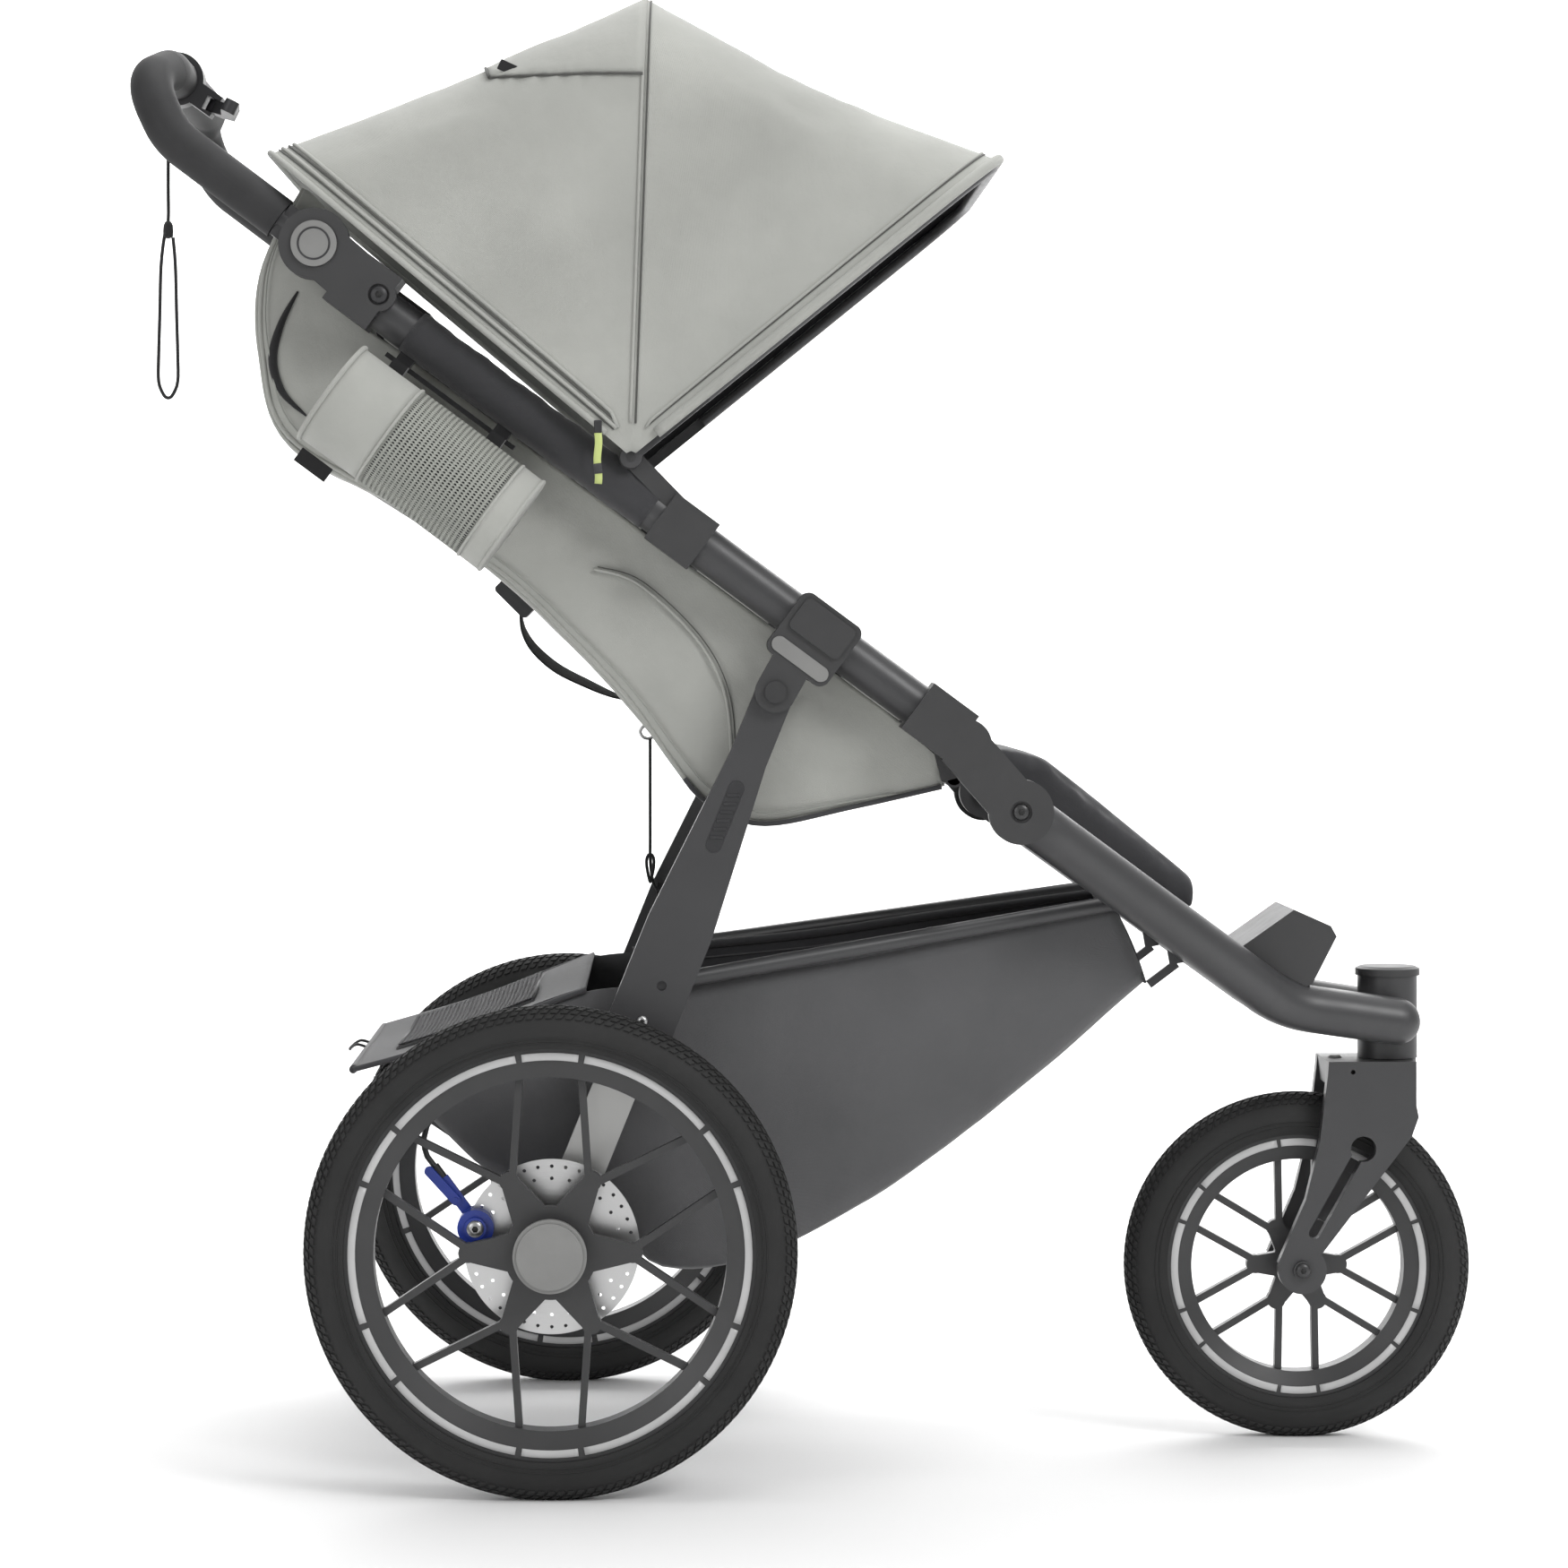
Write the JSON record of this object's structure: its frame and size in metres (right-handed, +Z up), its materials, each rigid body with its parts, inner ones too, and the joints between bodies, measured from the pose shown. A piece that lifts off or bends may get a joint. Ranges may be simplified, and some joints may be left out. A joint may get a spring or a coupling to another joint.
{
  "type": "jogging stroller",
  "caption": "Three-wheeled jogging stroller with a folding frame, swivelling front wheel, folding canopy, reclining seat, cargo basket and disc brakes.",
  "frame": {"origin": "middle of the overall footprint, on the ground", "axes": "+X forward, +Y to the left side, +Z up"},
  "size_m": [1.1492, 0.66, 1.2357],
  "materials": {
    "frame_paint": "satin dark grey paint",
    "joint_plastic": "fine-grained dark plastic",
    "insert_grey": "mid grey plastic",
    "strut_grey": "satin light grey",
    "bolt_steel": "zinc plated",
    "light_fabric": "woven light grey-green fabric",
    "liner_fabric": "soft woven lining",
    "dark_fabric": "dark woven fabric",
    "webbing": "black webbing",
    "clip_plastic": "black plastic",
    "tyre_rubber": "black rubber",
    "rim_plastic": "satin dark grey plastic",
    "disc_steel": "turned steel",
    "caliper_blue": "anodised blue",
    "cable_black": "black cable housing",
    "grip_foam": "soft dark grip",
    "bow_metal": "black painted"
  },
  "bodies": {
    "frame": {"main_tubes": "frame_paint", "handle_hinges": "joint_plastic", "leg_brackets": "joint_plastic", "bracket_inserts": "insert_grey", "front_joints": "joint_plastic", "frame_bolts": "bolt_steel", "front_cross_bar": "frame_paint", "seat_shell": "light_fabric", "seat_cushion": "liner_fabric", "crotch_buckle": "clip_plastic", "canopy_clips": "joint_plastic", "canopy_rear": "light_fabric", "cup_pocket": "light_fabric", "cup_hanger": "webbing", "calf_pad": "dark_fabric", "seat_tether": "webbing"},
    "seat_back": {"seat_back": "light_fabric", "shoulder_harness": "webbing", "recline_strap": "webbing", "recline_buckle": "clip_plastic"},
    "front_frame": {"front_tubes": "frame_paint", "head_tube": "frame_paint", "head_cap": "joint_plastic", "head_bearings": "bolt_steel", "footrest": "joint_plastic", "basket_hooks": "clip_plastic"},
    "fork": {"fork": "frame_paint", "front_axle": "bolt_steel"},
    "swivel_lock": {"swivel_lock": "insert_grey"},
    "front_wheel": {"front_tyre": "tyre_rubber", "front_rim": "rim_plastic"},
    "rear_legs": {"rear_legs": "frame_paint", "leg_struts": "strut_grey", "leg_inserts": "clip_plastic", "axle_beam": "frame_paint", "rear_cover": "dark_fabric", "basket": "dark_fabric", "calipers": "caliper_blue", "brake_cables": "cable_black"},
    "side_rails": {"side_rails": "frame_paint"},
    "rear_wheel_right": {"rear_tyre_right": "tyre_rubber", "rear_rim_right": "rim_plastic", "brake_disc_right": "disc_steel", "hub_cap_right": "insert_grey"},
    "rear_wheel_left": {"rear_tyre_left": "tyre_rubber", "rear_rim_left": "rim_plastic", "brake_disc_left": "disc_steel", "hub_cap_left": "insert_grey"},
    "handlebar": {"handlebar": "frame_paint", "handle_grip": "grip_foam", "lever_bracket": "clip_plastic", "wrist_strap": "webbing"},
    "brake_lever": {"brake_lever": "clip_plastic"},
    "handle_button_right": {"handle_button_right": "insert_grey"},
    "handle_button_left": {"handle_button_left": "insert_grey"},
    "caliper_arm_right": {"caliper_arm_right": "caliper_blue"},
    "caliper_arm_left": {"caliper_arm_left": "caliper_blue"},
    "canopy_mid": {"canopy_mid_bow": "bow_metal"},
    "canopy_front": {"canopy_front_bow": "bow_metal", "canopy_front": "light_fabric"}
  },
  "joints": [
    {"name": "fold_front", "type": "hinge", "parent": "frame", "child": "front_frame", "pos_m": [0.16544, 0, 0.55591], "axis": [0, 1, 0], "range_deg": [0, 80]},
    {"name": "fold_legs", "type": "hinge", "parent": "frame", "child": "rear_legs", "pos_m": [-0.0374, 0, 0.655], "axis": [0, 1, 0], "range_deg": [0, 51], "deforming": ["basket", "rear_cover"]},
    {"name": "fold_rails", "type": "hinge", "parent": "rear_legs", "child": "side_rails", "pos_m": [-0.13117, 0, 0.41246], "axis": [0, 1, 0], "range_deg": [-21.1, 0]},
    {"name": "fork_swivel", "type": "hinge", "parent": "front_frame", "child": "fork", "pos_m": [0.5046, 0, 0.36], "axis": [0, 0, 1], "continuous": true},
    {"name": "swivel_lock_pull", "type": "slide", "parent": "fork", "child": "swivel_lock", "axis": [0, 0, 1], "range_m": [0, 0.003], "stiffness_N_per_m": 400},
    {"name": "front_wheel_spin", "type": "hinge", "parent": "fork", "child": "front_wheel", "pos_m": [0.4246, 0, 0.15], "axis": [0, 1, 0], "continuous": true},
    {"name": "rear_wheel_right_spin", "type": "hinge", "parent": "rear_legs", "child": "rear_wheel_right", "pos_m": [-0.2214, -0.3, 0.2], "axis": [0, 1, 0], "continuous": true},
    {"name": "rear_wheel_left_spin", "type": "hinge", "parent": "rear_legs", "child": "rear_wheel_left", "pos_m": [-0.2214, 0.3, 0.2], "axis": [0, 1, 0], "continuous": true},
    {"name": "handlebar_tilt", "type": "hinge", "parent": "frame", "child": "handlebar", "pos_m": [-0.418, 0, 1.02495], "axis": [0, 1, 0], "range_deg": [-75, 8]},
    {"name": "handle_button_right_press", "type": "slide", "parent": "frame", "child": "handle_button_right", "axis": [0, 1, 0], "range_m": [0, 0.004], "stiffness_N_per_m": 600},
    {"name": "handle_button_left_press", "type": "slide", "parent": "frame", "child": "handle_button_left", "axis": [0, -1, 0], "range_m": [0, 0.004], "stiffness_N_per_m": 600},
    {"name": "brake_lever_squeeze", "type": "hinge", "parent": "handlebar", "child": "brake_lever", "pos_m": [-0.51324, -0.088, 1.15365], "axis": [-0.4392, 0, -0.8984], "range_deg": [0, 18], "stiffness_Nm_per_rad": 1.5},
    {"name": "caliper_arm_right_pull", "type": "hinge", "parent": "rear_legs", "child": "caliper_arm_right", "pos_m": [-0.3004, -0.257, 0.237], "axis": [0, 1, 0], "range_deg": [0, 9]},
    {"name": "caliper_arm_left_pull", "type": "hinge", "parent": "rear_legs", "child": "caliper_arm_left", "pos_m": [-0.3004, 0.257, 0.237], "axis": [0, 1, 0], "range_deg": [0, 9]},
    {"name": "canopy_fold", "type": "hinge", "parent": "frame", "child": "canopy_mid", "pos_m": [-0.15646, 0, 0.84884], "axis": [0, -1, 0], "range_deg": [0, 44], "deforming": ["canopy_rear"]},
    {"name": "canopy_front_fold", "type": "hinge", "parent": "canopy_mid", "child": "canopy_front", "pos_m": [-0.15646, 0, 0.84884], "axis": [0, -1, 0], "range_deg": [0, 41], "deforming": ["canopy_front"]},
    {"name": "seat_recline", "type": "hinge", "parent": "frame", "child": "seat_back", "pos_m": [-0.0951, 0, 0.57703], "axis": [0, -1, 0], "range_deg": [0, 28]}
  ],
  "couplings": [
    {"joint": "fold_legs", "follows": "fold_front", "ratio": 0.637},
    {"joint": "fold_rails", "follows": "fold_front", "ratio": -0.263},
    {"joint": "caliper_arm_right_pull", "follows": "brake_lever_squeeze", "ratio": 0.5},
    {"joint": "caliper_arm_left_pull", "follows": "brake_lever_squeeze", "ratio": 0.5},
    {"joint": "canopy_front_fold", "follows": "canopy_fold", "ratio": 0.93}
  ]
}
